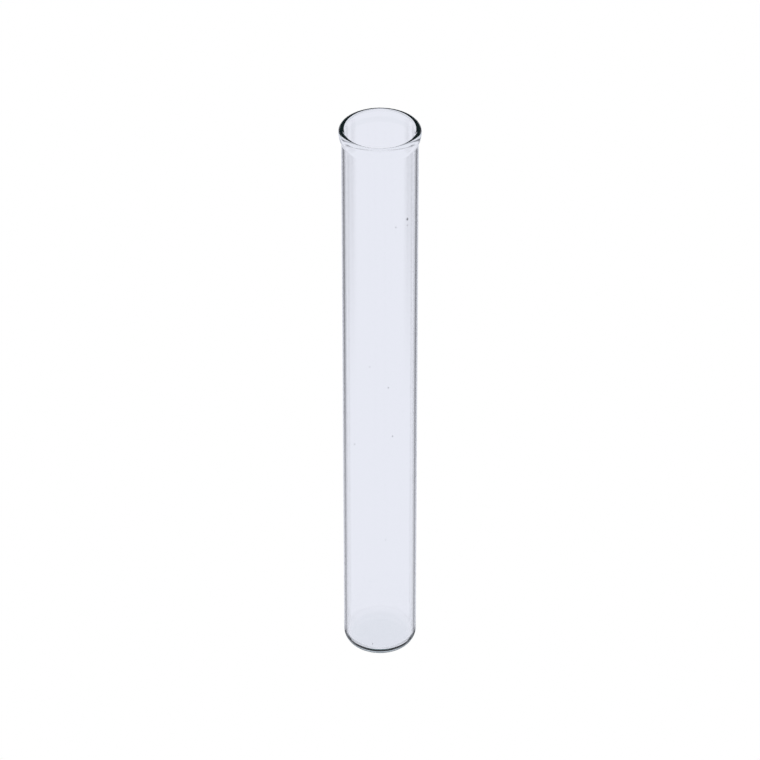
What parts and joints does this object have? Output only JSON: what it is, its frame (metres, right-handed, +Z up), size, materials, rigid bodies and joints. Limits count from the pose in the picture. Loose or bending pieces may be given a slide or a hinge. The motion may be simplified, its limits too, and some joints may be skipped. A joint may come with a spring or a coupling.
{
  "type": "test tube",
  "caption": "Clear glass test tube with a collared, fire-polished lip, a straight barrel and a closed flat base with a rounded heel.",
  "frame": {"origin": "centre of the underside of the base, where the tube stands", "axes": "+Z up along the tube's axis, from the base to the mouth; the tube is the same all round, so +X and +Y are any two directions across it"},
  "size_m": [0.0194, 0.0192, 0.15],
  "materials": {
    "glass": "clear colourless glass with a faint cool tint, fire-polished"
  },
  "bodies": {
    "root": {"lip": "glass", "barrel": "glass", "base": "glass"}
  },
  "joints": []
}
